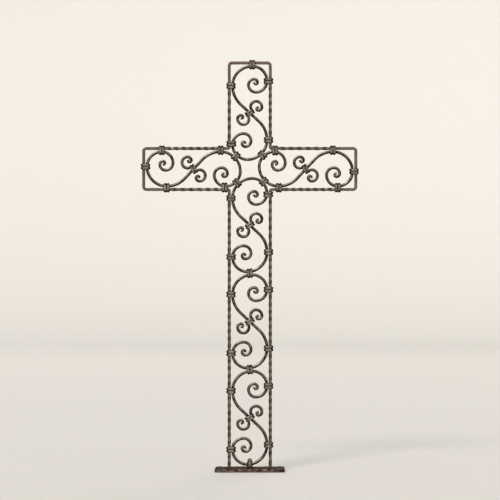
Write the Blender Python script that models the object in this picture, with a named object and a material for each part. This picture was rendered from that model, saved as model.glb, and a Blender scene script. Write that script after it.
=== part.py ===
"""Wrought iron standing cross, made of square bar, scrolls and collars.

The cross faces -Y and its underside is at Z = 0.  Every piece hangs from an
empty at the point where the two beams cross, and is drawn in the flat plane
of the cross: x to the right, y up.  All lengths are in metres.
"""
import math

import bmesh
import bpy

# Stock and fit
BAR = 0.008             # side of the square bar
GAP = 0.0003            # clearance between neighbouring pieces
TWIST_PITCH = 0.020     # length of one quarter turn of twist
TWIST_REST = 0.002      # plain bar left beside each collar
TWIST_WIDTH = 0.88      # width where the bar is twisted, as a part of the bar

# Large scroll: an S whose two halves wind in by quarter arcs
SCROLL_REACH = 0.1185   # centre of the S to its highest point
R_SHOULDER = 0.0499     # first quarter arc
R_BROW = 0.0377         # second quarter arc
R_THROAT = 0.0283       # the next four, winding inwards
R_NECK = 0.0187
R_CROWN = 0.0146
R_NOSE = 0.0083
SCROLL_LEAN = 43.0      # slope of the diagonal, degrees
SCROLL_TIP = 0.0016     # straight end of the bar inside the last arc
EYE = 0.0005            # clear radius at the heart of a tip
TIP_WIDTH = 0.84        # width of a tip, as a part of the bar

# Small curl: one each side of the diagonal
CURL_SLIDE = -0.0022    # start of its stub, along the diagonal
R_STUB = 0.0236
STUB_SWEEP = 32.0
R_RISE = 0.0142
R_FALL = 0.0146
R_TUCK = 0.0090
CURL_TIP = 0.0020
STUB_WIDTH = 0.42       # width of the thinned stub, as a part of the bar
STUB_TAPER = 0.0100     # length over which the stub swells to the full bar

# Frame
R_CORNER = 0.0070       # outer corners, on the centreline
R_CROOK = 0.0045        # the four inward corners, on the centreline

# Collars
COLLAR_LENGTH = 0.0145
COLLAR_WALL = 0.0034
COLLAR_FACE = 0.0040    # thickness in front of the bars and behind them
GROOVE_SHARE = 0.6      # depth of the groove, as a part of the wall
GROOVE_SLOPE = 0.6      # run of each side of the groove, as a part of its depth
GROOVE_WIDTH = 0.0024   # floor of the groove
MID_ANGLE = 28.0        # slope of the collar in the middle of an S
MID_LENGTH = 0.0126
MID_WALL = 0.0024

# Foot
SHAFT_SCROLLS = 3
PLATE_WIDTH = 0.178
PLATE_DEPTH = 0.088
PLATE_THICK = 0.0095
PLATE_CORNER = 0.006
PLATE_RIM = 0.0012
FOOT_WALL = 0.0032      # foot collar, above and below the bar
KNOB_WIDTH = 0.0104
KNOB_HEIGHT = 0.0086
KNOB_SINK = 0.0024      # depth of the knob's flat base inside the collar

# Worked out from the sizes above
half_wide = (R_SHOULDER + R_BROW) / 2
offset = BAR + GAP
side_lean = R_SHOULDER - half_wide
up_shoulder = SCROLL_REACH - R_SHOULDER
up_brow = SCROLL_REACH - R_BROW
arm_centre = SCROLL_REACH - half_wide + (2 * half_wide + offset) / math.sqrt(2)
pitch = 2 * up_shoulder + math.sqrt((2 * R_SHOULDER + offset) ** 2 - (2 * side_lean) ** 2)
frame_half = half_wide + offset
arm_reach = arm_centre + SCROLL_REACH + offset
shaft_bottom = arm_centre + (SHAFT_SCROLLS - 1) * pitch + SCROLL_REACH
plate_drop = shaft_bottom + BAR / 2 + GAP + FOOT_WALL + GAP
cross_height = plate_drop + PLATE_THICK
foot_level = -plate_drop + GAP


def turn(point, degrees, centre=(0.0, 0.0)):
    """Turn a flat point about the origin and move it to a centre."""
    a = math.radians(degrees)
    x, y = point
    return (x * math.cos(a) - y * math.sin(a) + centre[0],
            x * math.sin(a) + y * math.cos(a) + centre[1])


def walk(start, heading, steps):
    """Follow straight and curved steps and give the points passed.

    A step is (radius, degrees, parts); a radius of 0 makes it a straight
    line and degrees is then its length.  Positive degrees turn clockwise.
    """
    x, y = start
    a = math.radians(heading)
    points = [(x, y)]
    for radius, amount, parts in steps:
        if radius == 0:
            x, y = x + amount * math.cos(a), y + amount * math.sin(a)
            points.append((x, y))
            continue
        r = radius if amount > 0 else -radius
        cx, cy = x + r * math.sin(a), y - r * math.cos(a)
        sweep = math.radians(amount)
        for i in range(1, parts + 1):
            b = a - sweep * i / parts
            points.append((cx - r * math.sin(b), cy + r * math.cos(b)))
        a -= sweep
        x, y = points[-1]
    return points


def thin_tip(widths, count):
    """Thin the last few widths down to the width of a tip."""
    for i in range(count):
        widths[-1 - i] = TIP_WIDTH + (1 - TIP_WIDTH) * i / count


def scroll_points():
    """Whole large S, from one tip to the other, with widths."""
    lean = math.radians(SCROLL_LEAN)
    sweep = 90 - SCROLL_LEAN
    half = math.tan(math.radians(sweep / 2))
    r_waist = (up_shoulder - half_wide * math.tan(lean)) / half
    straight = half_wide / math.cos(lean) - r_waist * half
    steps = [(0, straight, 1), (r_waist, sweep, 3), (R_SHOULDER, 90, 5), (R_BROW, 90, 4),
             (R_THROAT, 90, 4), (R_NECK, 90, 4), (R_CROWN, 90, 3), (R_NOSE, 90, 3),
             (BAR / 2 + EYE, 90, 2), (BAR / 2 * TIP_WIDTH + EYE, 90, 2), (0, SCROLL_TIP, 1)]
    half_s = walk((0, 0), 180 - SCROLL_LEAN, steps)
    widths = [1.0] * len(half_s)
    thin_tip(widths, 6)
    other = [(-x, -y) for x, y in reversed(half_s[1:])]
    return other + half_s, list(reversed(widths[1:])) + widths


def curl_points():
    """Small curl on the upper right of the diagonal, with widths."""
    heading = 90 + STUB_SWEEP
    away = BAR / 2 + GAP + STUB_WIDTH * BAR / 2
    start = turn((CURL_SLIDE, -away), 180 - SCROLL_LEAN)
    steps = [(R_STUB, STUB_SWEEP, 2), (R_RISE, 90, 4), (R_FALL, 90, 4), (R_TUCK, 90, 3),
             (BAR / 2 + EYE, 90, 2), (BAR / 2 * TIP_WIDTH + EYE, 90, 2), (0, CURL_TIP, 1)]
    points = walk(start, heading, steps)
    widths, far = [], 0.0
    for i, p in enumerate(points):
        far += math.dist(p, points[i - 1]) if i else 0.0
        widths.append(min(1.0, STUB_WIDTH + (1 - STUB_WIDTH) * far / STUB_TAPER))
    thin_tip(widths, 5)
    return points, widths


def iron(name, colour, roughness):
    """Dark forged iron, as a simple metal."""
    material = bpy.data.materials.new(name)
    material.use_nodes = True
    shader = material.node_tree.nodes["Principled BSDF"]
    shader.inputs["Base Color"].default_value = (*colour, 1.0)
    shader.inputs["Roughness"].default_value = roughness
    shader.inputs["Metallic"].default_value = 0.9
    material.diffuse_color = (*colour, 1.0)
    return material


def stand(name, data, home, heart, centre=(0.0, 0.0), degrees=0.0):
    """Stand a flat-drawn shape up in the cross, at its centre and slope."""
    ob = bpy.data.objects.new(name, data)
    ob.parent = heart
    ob.location = (centre[0], 0, centre[1])
    ob.rotation_euler = (math.pi / 2, -math.radians(degrees), 0)
    home.objects.link(ob)
    return ob


def bar_curve(name, points, material, widths=None, tilts=None):
    """Square bar along flat points, capped at both ends."""
    data = bpy.data.curves.new(name, "CURVE")
    data.dimensions = "3D"
    data.twist_mode = "Z_UP"
    data.bevel_depth = BAR / math.sqrt(2)
    data.bevel_resolution = 0
    data.use_fill_caps = True
    spline = data.splines.new("POLY")
    spline.points.add(len(points) - 1)
    for i, p in enumerate(spline.points):
        p.co = (points[i][0], points[i][1], 0, 1)
        p.radius = widths[i] if widths else 1.0
        p.tilt = math.pi / 4 + (tilts[i] if tilts else 0.0)
    data.materials.append(material)
    return data


def off_segment(p, q):
    """Distance from the origin to the segment between two flat points."""
    dx, dy = q[0] - p[0], q[1] - p[1]
    t = -(p[0] * dx + p[1] * dy) / (dx * dx + dy * dy)
    t = min(1.0, max(0.0, t))
    return math.hypot(p[0] + t * dx, p[1] + t * dy)


def span(bars, centre, degrees, half):
    """Room that the bars take across a collar of that centre and slope.

    Each bar is its points and widths.  The stretch of it that passes the
    centre is followed to both ends of the collar, with its two edges.
    """
    low, high = math.inf, -math.inf
    for points, widths in bars:
        local = [turn((x - centre[0], y - centre[1]), -degrees) for x, y in points]
        first = last = min(range(1, len(local)),
                           key=lambda i: off_segment(local[i - 1], local[i]))
        while first > 1 and abs(local[first - 1][1]) < half:
            first -= 1
        while last < len(local) - 1 and abs(local[last][1]) < half:
            last += 1
        for i in range(first, last + 1):
            (x0, y0), (x1, y1) = local[i - 1], local[i]
            slope = math.dist(local[i - 1], local[i]) / abs(y1 - y0)
            for y in (max(min(y0, y1), -half), min(max(y0, y1), half)):
                t = (y - y0) / (y1 - y0)
                edge = BAR / 2 * slope * (widths[i - 1] + t * (widths[i] - widths[i - 1]))
                x = x0 + t * (x1 - x0)
                low, high = min(low, x - edge), max(high, x + edge)
    return low - GAP, high + GAP


def collar_mesh(name, length, low, high, wall, material):
    """Grooved band: x across the bars, y along them, z towards the viewer."""
    face = BAR / 2 + GAP
    front = face + COLLAR_FACE
    half, floor, depth = length / 2, GROOVE_WIDTH / 2, GROOVE_SHARE * wall
    shoulder = floor + GROOVE_SLOPE * depth
    skin = [(-half, 0), (-shoulder, 0), (-floor, depth),
            (floor, depth), (shoulder, 0), (half, 0)]
    rings = []
    for y, sink in skin:
        a, b, c = low - wall + sink, high + wall - sink, front - sink
        rings.append([(a, y, -c), (b, y, -c), (b, y, c), (a, y, c)])
    for y in (half, -half):
        rings.append([(low, y, -face), (high, y, -face), (high, y, face), (low, y, face)])
    bm = bmesh.new()
    loops = [[bm.verts.new(co) for co in ring] for ring in rings]
    for ring, after in zip(loops, loops[1:] + loops[:1]):
        for k in range(4):
            bm.faces.new((ring[k], ring[k - 1], after[k - 1], after[k]))
    bmesh.ops.recalc_face_normals(bm, faces=bm.faces)
    mesh = bpy.data.meshes.new(name)
    bm.to_mesh(mesh)
    bm.free()
    mesh.materials.append(material)
    return mesh


# Start from an empty scene
for old in list(bpy.data.objects):
    bpy.data.objects.remove(old, do_unlink=True)

home = bpy.data.collections.new("Wrought iron cross")
guides = bpy.data.collections.new("Guides")
bpy.context.scene.collection.children.link(home)
bpy.context.scene.collection.children.link(guides)
frame_iron = iron("Frame iron", (0.13, 0.10, 0.08), 0.45)
scroll_iron = iron("Scroll iron", (0.15, 0.12, 0.10), 0.42)
collar_iron = iron("Collar iron", (0.12, 0.12, 0.10), 0.48)
plate_iron = iron("Plate iron", (0.10, 0.07, 0.05), 0.50)

heart = bpy.data.objects.new("heart_of_cross", None)
heart.location = (0, 0, cross_height)
home.objects.link(heart)

# Modules: name, turn of the S and its centre
modules = [("top", 0, (0, arm_centre)),
           ("left", 90, (-arm_centre, 0)),
           ("right", -90, (arm_centre, 0))]
for k in range(SHAFT_SCROLLS):
    modules.append((f"shaft_{k + 1}", 0, (0, -arm_centre - k * pitch)))

# Large scrolls and the two curls of each
scroll = scroll_points()
curl = curl_points()
far_curl = ([(-x, -y) for x, y in curl[0]], curl[1])
scroll_data = bar_curve("scroll", scroll[0], scroll_iron, widths=scroll[1])
curl_data = bar_curve("curl", curl[0], scroll_iron, widths=curl[1])
for name, degrees, centre in modules:
    stand(f"scroll_{name}", scroll_data, home, heart, centre, degrees)
    stand(f"curl_{name}_a", curl_data, home, heart, centre, degrees)
    stand(f"curl_{name}_b", curl_data, home, heart, centre, degrees + 180)

# Collars that tie each S to the frame and the curls to the S.  The brow
# collars next to the crossing slide clear of the frame's inward corners.
half_collar = COLLAR_LENGTH / 2
side = half_wide + offset / 2
edge = [[(x, -4 * SCROLL_REACH), (x, 4 * SCROLL_REACH)] for x in (-frame_half, frame_half)]
left_bar, right_bar = ((points, [1.0, 1.0]) for points in edge)
end_bar = ([(-frame_half, SCROLL_REACH + offset), (frame_half, SCROLL_REACH + offset)], [1.0, 1.0])
crook_end = frame_half + R_CROOK + GAP + half_collar
slide = max(0.0, crook_end - (arm_centre - up_brow))
stations = []
for name, degrees, centre in modules:
    arm = not name.startswith("shaft")
    low_brow = up_brow - (slide if arm else 0.0)
    high_brow = up_brow - (slide if name == "shaft_1" else 0.0)
    for letter, place, frame_side in (("a", (-side, up_shoulder), left_bar),
                                      ("b", (side, high_brow), right_bar),
                                      ("c", (side, -up_shoulder), right_bar),
                                      ("d", (-side, -low_brow), left_bar)):
        low, high = span([scroll, frame_side], place, 0, half_collar)
        mesh = collar_mesh("side_collar", COLLAR_LENGTH, low, high, COLLAR_WALL, collar_iron)
        point = turn(place, degrees, centre)
        stand(f"collar_{name}_{letter}", mesh, home, heart, point, degrees)
        stations.append(point)
    low, high = span([scroll, curl, far_curl], (0, 0), MID_ANGLE, MID_LENGTH / 2)
    mesh = collar_mesh("mid_collar", MID_LENGTH, low, high, MID_WALL, collar_iron)
    stand(f"collar_{name}_mid", mesh, home, heart, centre, degrees + MID_ANGLE)
    if arm:
        place = (side_lean, SCROLL_REACH + offset / 2)
        low, high = span([scroll, end_bar], place, 90, half_collar)
        mesh = collar_mesh("end_collar", COLLAR_LENGTH, low, high, COLLAR_WALL, collar_iron)
        stand(f"collar_{name}_end", mesh, home, heart, turn(place, degrees, centre), degrees + 90)

# Collars between the scrolls of the shaft
lean = math.degrees(math.asin(2 * side_lean / (2 * R_SHOULDER + offset)))
upper = ([(x, y + pitch / 2) for x, y in scroll[0]], scroll[1])
lower = ([(x, y - pitch / 2) for x, y in scroll[0]], scroll[1])
low, high = span([upper, lower], (0, 0), 90 + lean, half_collar)
link_mesh = collar_mesh("link_collar", COLLAR_LENGTH, low, high, COLLAR_WALL, collar_iron)
for k in range(SHAFT_SCROLLS - 1):
    stand(f"collar_link_{k + 1}", link_mesh, home, heart,
          (0, -arm_centre - (k + 0.5) * pitch), 90 + lean)

# Four slanting collars round the crossing
touch = (R_SHOULDER + offset / 2) / math.sqrt(2)
corner = (touch - side_lean, arm_centre - up_shoulder - touch)
top_s = ([(x, y + arm_centre) for x, y in scroll[0]], scroll[1])
right_s = ([turn(p, -90, (arm_centre, 0)) for p in scroll[0]], scroll[1])
low, high = span([top_s, right_s], corner, -45, half_collar)
heart_mesh = collar_mesh("heart_collar", COLLAR_LENGTH, low, high, COLLAR_WALL, collar_iron)
for k in range(4):
    stand(f"collar_heart_{k + 1}", heart_mesh, home, heart, turn(corner, 90 * k), 90 * k - 45)

# Foot collar with its knob, on the plate and round the lowest bar
lowest = ([(x, y - shaft_bottom + SCROLL_REACH) for x, y in scroll[0]], scroll[1])
foot_place = (0, -shaft_bottom)
low, high = span([lowest], foot_place, 90, half_collar)
foot_mesh = collar_mesh("foot_collar", COLLAR_LENGTH, low, high, FOOT_WALL, collar_iron)
foot = stand("collar_foot", foot_mesh, home, heart, foot_place, 90)
bm = bmesh.new()
bmesh.ops.create_uvsphere(bm, u_segments=12, v_segments=8, radius=1)
bmesh.ops.scale(bm, vec=(KNOB_WIDTH / 2, KNOB_WIDTH / 2, KNOB_HEIGHT), verts=bm.verts)
# only the upper half is kept, on a flat base sunk into the collar
everything = list(bm.verts) + list(bm.edges) + list(bm.faces)
bmesh.ops.bisect_plane(bm, geom=everything, plane_co=(0, 0, 0), plane_no=(0, 0, -1),
                       clear_outer=True)
bmesh.ops.holes_fill(bm, edges=bm.edges)
bmesh.ops.recalc_face_normals(bm, faces=bm.faces)
knob_mesh = bpy.data.meshes.new("knob")
bm.to_mesh(knob_mesh)
bm.free()
knob_mesh.materials.append(collar_iron)
knob = bpy.data.objects.new("knob", knob_mesh)
knob.parent = heart
knob.location = (0, 0, -shaft_bottom + high + FOOT_WALL - KNOB_SINK)
knob.hide_render = True
knob.display_type = "WIRE"
guides.objects.link(knob)
weld = foot.modifiers.new("knob", "BOOLEAN")
weld.operation = "UNION"
weld.object = knob

# Frame: one bar, from the left foot round the three arms to the right foot
corners = [(-frame_half, foot_level), (-frame_half, -frame_half),
           (-arm_reach, -frame_half), (-arm_reach, frame_half),
           (-frame_half, frame_half), (-frame_half, arm_reach),
           (frame_half, arm_reach), (frame_half, frame_half),
           (arm_reach, frame_half), (arm_reach, -frame_half),
           (frame_half, -frame_half), (frame_half, foot_level)]
frame_points, widths, tilts, twist = [corners[0]], [1.0], [0.0], 0.0
for i in range(1, len(corners)):
    a, b = corners[i - 1], corners[i]
    leg = math.dist(a, b)
    ux, uy = (b[0] - a[0]) / leg, (b[1] - a[1]) / leg
    # collars met on this leg; the plate is the last stop of the two feet
    stops = [-half_collar] if i == 1 else []
    for px, py in stations:
        along = (px - a[0]) * ux + (py - a[1]) * uy
        if abs((px - a[0]) * uy - (py - a[1]) * ux) < BAR and 0 < along < leg:
            stops.append(along)
    if i == len(corners) - 1:
        stops.append(leg + half_collar)
    stops.sort()
    for s0, s1 in zip(stops, stops[1:]):
        s0, s1 = s0 + half_collar + TWIST_REST, s1 - half_collar - TWIST_REST
        steps = 2 * max(1, round((s1 - s0) / TWIST_PITCH))
        for n in range(steps + 1):
            s = s0 + (s1 - s0) * n / steps
            frame_points.append((a[0] + ux * s, a[1] + uy * s))
            widths.append(TWIST_WIDTH if 0 < n < steps else 1.0)
            tilts.append(twist + n * math.pi / 4)
        twist += steps * math.pi / 4
    if i < len(corners) - 1:
        after = corners[i + 1]
        left = ux * (after[1] - b[1]) - uy * (after[0] - b[0]) > 0
        radius, amount = (R_CROOK, -90) if left else (R_CORNER, 90)
        begin = (b[0] - ux * radius, b[1] - uy * radius)
        bend = walk(begin, math.degrees(math.atan2(uy, ux)), [(radius, amount, 3)])
        frame_points += bend
        widths += [1.0] * len(bend)
        tilts += [twist] * len(bend)
frame_points.append(corners[-1])
widths.append(1.0)
tilts.append(twist)
frame_data = bar_curve("frame_bar", frame_points, frame_iron, widths=widths, tilts=tilts)
stand("frame_bar", frame_data, home, heart)

# Base plate, with its corners rounded and its upper rim broken
bpy.ops.mesh.primitive_cube_add(size=1)
plate = bpy.context.object
plate.name = "base_plate"
plate.scale = (PLATE_WIDTH, PLATE_DEPTH, PLATE_THICK)
bpy.ops.object.transform_apply(location=False, rotation=False, scale=True)
plate.data.materials.append(plate_iron)
plate.parent = heart
plate.location = (0, 0, -plate_drop - PLATE_THICK / 2)
for c in list(plate.users_collection):
    c.objects.unlink(plate)
home.objects.link(plate)
bm = bmesh.new()
bm.from_mesh(plate.data)
uprights = [e for e in bm.edges if abs(e.verts[0].co.z - e.verts[1].co.z) > PLATE_THICK / 2]
bmesh.ops.bevel(bm, geom=uprights, offset=PLATE_CORNER, segments=3, profile=0.5, affect="EDGES")
rim = [e for e in bm.edges if e.verts[0].co.z > 0 and e.verts[1].co.z > 0]
bmesh.ops.bevel(bm, geom=rim, offset=PLATE_RIM, segments=1, profile=0.5, affect="EDGES")
bm.to_mesh(plate.data)
bm.free()
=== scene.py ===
"""Looks of a wrought iron standing cross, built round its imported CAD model.

Flat shapes are drawn with x to the right, y up and z towards the viewer, from
the point where the beams cross, and then stood up to face -Y.  Lengths are in
metres unless a name ends in _mm, and angles are in degrees.
"""
import logging
import math
import random
from collections.abc import Iterable
from dataclasses import dataclass
from enum import Enum

import bpy
import numpy as np
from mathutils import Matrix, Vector, noise


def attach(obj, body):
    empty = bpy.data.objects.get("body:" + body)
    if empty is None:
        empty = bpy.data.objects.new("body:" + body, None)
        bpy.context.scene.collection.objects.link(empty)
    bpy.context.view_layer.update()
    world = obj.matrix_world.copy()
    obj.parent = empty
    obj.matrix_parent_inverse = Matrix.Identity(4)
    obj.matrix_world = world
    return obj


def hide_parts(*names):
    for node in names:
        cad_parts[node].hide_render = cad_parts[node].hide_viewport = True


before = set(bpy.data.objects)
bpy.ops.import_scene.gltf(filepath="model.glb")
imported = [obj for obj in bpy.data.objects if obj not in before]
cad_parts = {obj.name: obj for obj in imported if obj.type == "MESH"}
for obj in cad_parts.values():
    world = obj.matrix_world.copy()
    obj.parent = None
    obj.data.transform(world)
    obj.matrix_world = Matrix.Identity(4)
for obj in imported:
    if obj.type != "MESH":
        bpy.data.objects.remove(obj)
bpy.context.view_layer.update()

LOG = logging.getLogger("wrought_iron_cross")
BODY = "root"
LEAST_BEND_PARTS = 6
Point = tuple[float, float]
Step = tuple[float, float]


class Slot(Enum):
    """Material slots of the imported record."""

    FRAME = "frame_iron"
    SCROLL = "scroll_iron"
    COLLAR = "collar_iron"
    PLATE = "plate_iron"


class Mark(Enum):
    """Values kept at each point of a mesh, which the finishes read."""

    EDGE = "worn_edge"
    # soot in hammer dents, and painted shade in creases, beside the collars and on sides turned
    # away
    SOOT_AND_SHADE = "sooty_hollow"


class Ends(Enum):
    """What becomes of the ends of a tube."""

    OPEN = "left open"
    CAPPED = "closed by a face each"
    JOINED = "joined to each other"


# Flat drawing


def turn(point: Point, degrees: float, centre: Point = (0.0, 0.0)) -> Point:
    """Turn a flat point about the origin and move it to a centre.

    Args:
        point: flat point.
        degrees: turn, anticlockwise.
        centre: where the origin goes.

    Returns:
        The moved point.
    """
    a = math.radians(degrees)
    x, y = point
    return (x * math.cos(a) - y * math.sin(a) + centre[0],
            x * math.sin(a) + y * math.cos(a) + centre[1])


def walk(start: Point, heading: float, steps: Iterable[Step], pace: float) -> list[Point]:
    """Follow straight and curved steps and give the points passed.

    Args:
        start: first point.
        heading: first direction, from the x axis.
        steps: (radius, degrees) turns clockwise, and (0, length) goes straight.
        pace: longest distance between two points.

    Returns:
        The points, with the start.
    """
    x, y = start
    a = math.radians(heading)
    points = [(x, y)]
    for radius, amount in steps:
        if radius == 0:
            parts = max(1, math.ceil(amount / pace))
            points += [(x + amount * i / parts * math.cos(a), y + amount * i / parts * math.sin(a))
                       for i in range(1, parts + 1)]
        else:
            r, sweep = math.copysign(radius, amount), math.radians(amount)
            cx, cy = x + r * math.sin(a), y - r * math.cos(a)
            parts = max(LEAST_BEND_PARTS, math.ceil(radius * abs(sweep) / pace))
            points += [(cx - r * math.sin(a - sweep * i / parts),
                        cy + r * math.cos(a - sweep * i / parts)) for i in range(1, parts + 1)]
            a -= sweep
        x, y = points[-1]
    return points


@dataclass
class Route:
    """Centreline of a bar, with its width and twist at each point."""

    points: list[Point]
    widths: list[float]
    twists: list[float]

    @staticmethod
    def plain(points: list[Point]) -> "Route":
        """A route of full width without twist."""
        return Route(points, [1.0] * len(points), [0.0] * len(points))

    def lengths(self) -> list[float]:
        """Measure along the route.

        Returns:
            Distance of each point from the start.
        """
        far = [0.0]
        for p, q in zip(self.points, self.points[1:]):
            far.append(far[-1] + math.dist(p, q))
        return far

    def placed(self, degrees: float, centre: Point) -> "Route":
        """The same route, turned and moved to a centre."""
        return Route([turn(p, degrees, centre) for p in self.points], self.widths, self.twists)


@dataclass(frozen=True)
class Bay:
    """One S of the cross: its name, slope and centre."""

    name: str
    degrees: float
    centre: Point

    @property
    def arm(self) -> bool:
        """Whether the S is in one of the three short arms."""
        return not self.name.startswith("shaft")


@dataclass(frozen=True)
class Seat:
    """Where a collar sits: its node, centre, slope and the bars it holds."""

    node: str
    centre: Point
    degrees: float
    bars: tuple[Route, ...]


@dataclass(frozen=True)
class Plan:
    """Sizes that lay out the whole cross, the same as those of the CAD source."""

    bar: float = 0.008
    gap: float = 0.0003
    scroll_reach: float = 0.1185
    winding: tuple[float, ...] = (0.0499, 0.0377, 0.0283, 0.0187, 0.0146, 0.0083)
    scroll_lean: float = 43.0
    scroll_tip: float = 0.0016
    eye: float = 0.0005
    tip_width: float = 0.84
    tip_taper: float = 0.019
    curl_slide: float = -0.0022
    stub_sweep: float = 32.0
    curl_winding: tuple[float, ...] = (0.0142, 0.0146, 0.0090)
    r_stub: float = 0.0236
    curl_tip: float = 0.0020
    stub_width: float = 0.42
    stub_taper: float = 0.0100
    mid_angle: float = 28.0
    collar_length: float = 0.0145
    crook: float = 0.0045
    shaft_scrolls: int = 3
    plate_thick: float = 0.0095
    foot_wall: float = 0.0032
    pace: float = 0.0017

    @property
    def half_wide(self) -> float:
        """Centreline half width of an S."""
        return (self.winding[0] + self.winding[1]) / 2

    @property
    def offset(self) -> float:
        """Centreline distance between two bars that lie side by side."""
        return self.bar + self.gap

    @property
    def side_lean(self) -> float:
        """How far the top of an S is from the middle of its bay."""
        return self.winding[0] - self.half_wide

    @property
    def up_shoulder(self) -> float:
        """Height of the shoulder's touching point above the centre of an S."""
        return self.scroll_reach - self.winding[0]

    @property
    def up_brow(self) -> float:
        """Height of the brow's touching point above the centre of an S."""
        return self.scroll_reach - self.winding[1]

    @property
    def arm_centre(self) -> float:
        """Distance from the crossing to the centre of the first S each way."""
        return (self.scroll_reach - self.half_wide
                + (2 * self.half_wide + self.offset) / math.sqrt(2))

    @property
    def pitch(self) -> float:
        """Distance between the centres of two S of the shaft."""
        across = 2 * self.winding[0] + self.offset
        return 2 * self.up_shoulder + math.sqrt(across ** 2 - (2 * self.side_lean) ** 2)

    @property
    def frame_half(self) -> float:
        """Centreline half width of the frame."""
        return self.half_wide + self.offset

    @property
    def arm_reach(self) -> float:
        """Distance from the crossing to the frame at the end of an arm."""
        return self.arm_centre + self.scroll_reach + self.offset

    @property
    def shaft_bottom(self) -> float:
        """Depth of the lowest point of the last S below the crossing."""
        return self.arm_centre + (self.shaft_scrolls - 1) * self.pitch + self.scroll_reach

    @property
    def plate_drop(self) -> float:
        """Depth of the top of the plate below the crossing."""
        return self.shaft_bottom + self.bar / 2 + 2 * self.gap + self.foot_wall

    @property
    def height(self) -> float:
        """Height of the crossing above the floor."""
        return self.plate_drop + self.plate_thick

    def bays(self) -> list[Bay]:
        """Lay out the six S of the cross.

        Returns:
            The three arms, and then the shaft from the top down.
        """
        far = self.arm_centre
        arms = [Bay("top", 0, (0, far)), Bay("left", 90, (-far, 0)), Bay("right", -90, (far, 0))]
        return arms + [Bay(f"shaft_{k + 1}", 0, (0, -far - k * self.pitch))
                       for k in range(self.shaft_scrolls)]

    def tip_steps(self, straight: float) -> list[Step]:
        """The last two quarter arcs of a coil and its straight end."""
        return [(self.bar / 2 + self.eye, 90), (self.bar / 2 * self.tip_width + self.eye, 90),
                (0, straight)]

    def thinned(self, far: float) -> float:
        """Width of a bar at a distance from its tip, as a part of the full width."""
        return self.tip_width + (1 - self.tip_width) * min(1.0, far / self.tip_taper)

    def scroll(self) -> Route:
        """Draw the large S about its own centre.

        Returns:
            The route from one tip to the other.
        """
        lean = math.radians(self.scroll_lean)
        sweep = 90 - self.scroll_lean
        half = math.tan(math.radians(sweep / 2))
        r_waist = (self.up_shoulder - self.half_wide * math.tan(lean)) / half
        straight = self.half_wide / math.cos(lean) - r_waist * half
        steps = [(0, straight), (r_waist, sweep), *((r, 90) for r in self.winding),
                 *self.tip_steps(self.scroll_tip)]
        one = walk((0, 0), 180 - self.scroll_lean, steps, self.pace)
        route = Route.plain([(-x, -y) for x, y in reversed(one[1:])] + one)
        far = route.lengths()
        route.widths = [self.thinned(min(s, far[-1] - s)) for s in far]
        return route

    def curl(self) -> Route:
        """Draw the small curl on the upper right of the diagonal of an S.

        Returns:
            The route from its stub to its tip.
        """
        away = self.bar / 2 + self.gap + self.stub_width * self.bar / 2
        start = turn((self.curl_slide, -away), 180 - self.scroll_lean)
        steps = [(self.r_stub, self.stub_sweep), *((r, 90) for r in self.curl_winding),
                 *self.tip_steps(self.curl_tip)]
        route = Route.plain(walk(start, 90 + self.stub_sweep, steps, self.pace))
        far = route.lengths()
        swell = (1 - self.stub_width) / self.stub_taper
        route.widths = [min(self.stub_width + swell * s, self.thinned(far[-1] - s)) for s in far]
        return route

    def seats(self) -> list[Seat]:
        """Find the seats of every collar but the one at the foot.

        Returns:
            One seat for each collar.
        """
        scroll, curl = self.scroll(), self.curl()
        # straights for the long bars, which pass every collar from end to end
        far = self.scroll_reach * 4
        left_bar, right_bar = (Route.plain([(x, -far), (x, far)])
                               for x in (-self.frame_half, self.frame_half))
        top = self.scroll_reach + self.offset
        end_bar = Route.plain([(-self.frame_half, top), (self.frame_half, top)])
        side = self.half_wide + self.offset / 2
        clear = self.frame_half + self.crook + self.gap + self.collar_length / 2
        slide = max(0.0, clear - (self.arm_centre - self.up_brow))
        seats = []
        for bay in self.bays():
            low_brow = self.up_brow - (slide if bay.arm else 0.0)
            high_brow = self.up_brow - (slide if bay.name == "shaft_1" else 0.0)
            for letter, x, y, bar in (("a", -side, self.up_shoulder, left_bar),
                                      ("b", side, high_brow, right_bar),
                                      ("c", side, -self.up_shoulder, right_bar),
                                      ("d", -side, -low_brow, left_bar)):
                bars = (scroll.placed(0, (-x, -y)), bar.placed(0, (-x, 0)))
                seats.append(Seat(f"collar_{bay.name}_{letter}",
                                  turn((x, y), bay.degrees, bay.centre), bay.degrees, bars))
            bars = tuple(r.placed(-self.mid_angle, (0, 0))
                         for r in (scroll, curl, curl.placed(180, (0, 0))))
            seats.append(Seat(f"collar_{bay.name}_mid", bay.centre,
                              bay.degrees + self.mid_angle, bars))
            if bay.arm:
                place = (self.side_lean, self.scroll_reach + self.offset / 2)
                bars = tuple(r.placed(0, (-place[0], -place[1])).placed(-90, (0, 0))
                             for r in (scroll, end_bar))
                seats.append(Seat(f"collar_{bay.name}_end", turn(place, bay.degrees, bay.centre),
                                  bay.degrees + 90, bars))
        lean = math.degrees(math.asin(2 * self.side_lean / (2 * self.winding[0] + self.offset)))
        bars = tuple(scroll.placed(0, (0, y)).placed(-90 - lean, (0, 0))
                     for y in (self.pitch / 2, -self.pitch / 2))
        for k in range(self.shaft_scrolls - 1):
            centre = (0, -self.arm_centre - (k + 0.5) * self.pitch)
            seats.append(Seat(f"collar_link_{k + 1}", centre, 90 + lean, bars))
        touch = (self.winding[0] + self.offset / 2) / math.sqrt(2)
        corner = (touch - self.side_lean, self.arm_centre - self.up_shoulder - touch)
        bars = tuple(scroll.placed(-turned, centre).placed(0, (-corner[0], -corner[1]))
                     .placed(45, (0, 0))
                     for turned, centre in ((0, (0, self.arm_centre)), (90, (self.arm_centre, 0))))
        seats += [Seat(f"collar_heart_{k + 1}", turn(corner, 90 * k), 90 * k - 45, bars)
                  for k in range(4)]
        return seats

    def seat_centres(self) -> np.ndarray:
        """Flat centre of each collar, one to a row."""
        return np.array([seat.centre for seat in self.seats()])


# Meshes


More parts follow.
